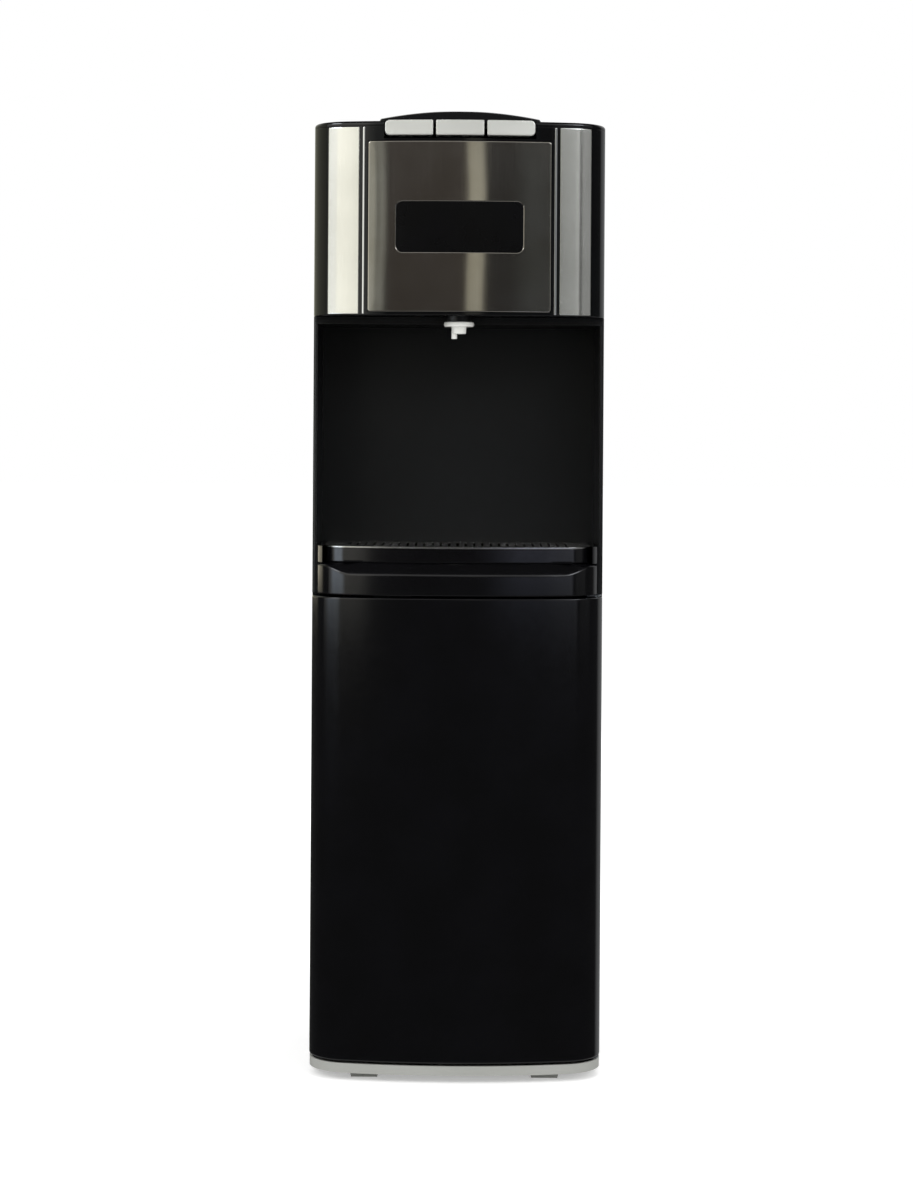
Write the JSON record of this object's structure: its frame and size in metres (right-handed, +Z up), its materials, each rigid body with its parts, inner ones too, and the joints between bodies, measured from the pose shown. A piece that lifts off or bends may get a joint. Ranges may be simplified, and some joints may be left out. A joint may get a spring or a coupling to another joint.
{
  "type": "bottom load water cooler",
  "caption": "Upright water cooler that takes its bottle behind a lower door, with a dispensing recess, push buttons on top, a slide-out drip tray and a rear condenser.",
  "frame": {"origin": "on the floor, in the middle of the object's width and depth", "axes": "+Z up, the front with the door faces -Y, +X to the right of someone who faces the front"},
  "size_m": [0.312, 0.36, 1.034],
  "materials": {
    "grey_plastic": "fine satin mould texture",
    "foot_plastic": "matte",
    "black_paint": "satin powder coat",
    "zinc_steel": "zinc plated",
    "condenser_paint": "black enamel",
    "liner_plastic": "satin",
    "union_plastic": "natural",
    "probe_plastic": "white, semi-gloss",
    "door_plastic": "semi-gloss black",
    "black_plastic": "satin black",
    "gloss_black": "high gloss",
    "display_black": "polished",
    "dark_steel": "dark, vertically brushed",
    "silver_plastic": "silver metallic paint",
    "chrome_trim": "mirror",
    "stainless": "brushed",
    "board": "solder mask",
    "spring_steel": "plain",
    "switch_plastic": "moulded",
    "rubber_black": "matte",
    "compressor_paint": "black enamel",
    "copper": "drawn copper",
    "foam": "foam",
    "valve_plastic": "moulded",
    "hose": "silicone",
    "hot_red": "gloss",
    "cold_blue": "gloss",
    "cap_plastic": "moulded"
  },
  "bodies": {
    "cabinet": {"base_plinth": "grey_plastic", "levelling_feet": "foot_plastic", "side_panel_left": "black_paint", "side_panel_right": "black_paint", "rear_panel_lower": "black_paint", "rear_panel_upper": "black_paint", "rear_screws": "zinc_steel", "condenser_coil": "condenser_paint", "condenser_brackets": "condenser_paint", "bay_liner": "liner_plastic", "hose_union": "union_plastic", "probe_hanger": "liner_plastic", "magnet_catch": "liner_plastic", "hinge_brackets": "zinc_steel", "tray_housing": "black_plastic", "niche_liner": "black_plastic", "nozzle_collar": "liner_plastic", "dispensing_nozzle": "probe_plastic", "head_housing": "gloss_black", "centre_panel": "dark_steel", "window_lens": "display_black", "wing_left": "silver_plastic", "wing_right": "silver_plastic", "trim_strips": "chrome_trim", "control_board": "board", "top_cover": "gloss_black", "hot_spring": "spring_steel", "room_spring": "spring_steel", "cold_spring": "spring_steel", "button_carrier": "liner_plastic", "microswitches": "switch_plastic", "compressor_shelf": "zinc_steel", "tank_shelf": "zinc_steel", "compressor_grommets": "rubber_black", "compressor": "compressor_paint", "filter_drier": "copper", "refrigerant_lines": "copper", "cold_tank": "stainless", "cold_tank_jacket": "foam", "evaporator_coil": "copper", "hot_tank": "stainless", "valve_manifold": "union_plastic", "solenoid_valves": "valve_plastic", "water_pump": "valve_plastic", "water_lines": "hose", "switch_frames": "switch_plastic", "drain_spout": "union_plastic", "cord_gland": "liner_plastic"},
    "door": {"door_panel": "door_plastic", "door_liner": "liner_plastic", "strike_plate": "zinc_steel"},
    "hot_button": {"hot_button": "silver_plastic"},
    "room_button": {"room_button": "silver_plastic"},
    "cold_button": {"cold_button": "silver_plastic"},
    "drip_tray": {"drip_tray": "black_plastic"},
    "drip_grille": {"drip_grille": "stainless"},
    "hot_rocker": {"hot_rocker": "hot_red"},
    "cold_rocker": {"cold_rocker": "cold_blue"},
    "probe": {"probe": "probe_plastic"},
    "drain_cap": {"drain_cap": "cap_plastic"}
  },
  "joints": [
    {"name": "door_hinge", "type": "hinge", "parent": "cabinet", "child": "door", "pos_m": [0.1505, -0.12829, 0.2665], "axis": [0, 0, 1], "range_deg": [0, 115]},
    {"name": "hot_button_press", "type": "slide", "parent": "cabinet", "child": "hot_button", "axis": [0, 0, -1], "range_m": [0, 0.003], "stiffness_N_per_m": 500, "springref_m": -0.002, "deforming": ["hot_spring"]},
    {"name": "room_button_press", "type": "slide", "parent": "cabinet", "child": "room_button", "axis": [0, 0, -1], "range_m": [0, 0.003], "stiffness_N_per_m": 500, "springref_m": -0.002, "deforming": ["room_spring"]},
    {"name": "cold_button_press", "type": "slide", "parent": "cabinet", "child": "cold_button", "axis": [0, 0, -1], "range_m": [0, 0.003], "stiffness_N_per_m": 500, "springref_m": -0.002, "deforming": ["cold_spring"]},
    {"name": "drip_tray_slide", "type": "slide", "parent": "cabinet", "child": "drip_tray", "axis": [0, -1, 0], "range_m": [0, 0.15]},
    {"name": "drip_grille_lift", "type": "slide", "parent": "drip_tray", "child": "drip_grille", "axis": [0, 0, 1], "range_m": [0, 0.03]},
    {"name": "hot_rocker_tip", "type": "hinge", "parent": "cabinet", "child": "hot_rocker", "pos_m": [-0.1, 0.155, 0.88], "axis": [-1, 0, 0], "range_deg": [0, 20]},
    {"name": "cold_rocker_tip", "type": "hinge", "parent": "cabinet", "child": "cold_rocker", "pos_m": [-0.1, 0.155, 0.92], "axis": [-1, 0, 0], "range_deg": [0, 20]},
    {"name": "probe_release", "type": "slide", "parent": "cabinet", "child": "probe", "axis": [0, -1, 0], "range_m": [0, 0.04]},
    {"name": "drain_cap_turn", "type": "hinge", "parent": "cabinet", "child": "drain_cap", "pos_m": [0.07, 0.166, 0.605], "axis": [0, 1, 0], "range_deg": [0, 360]}
  ]
}
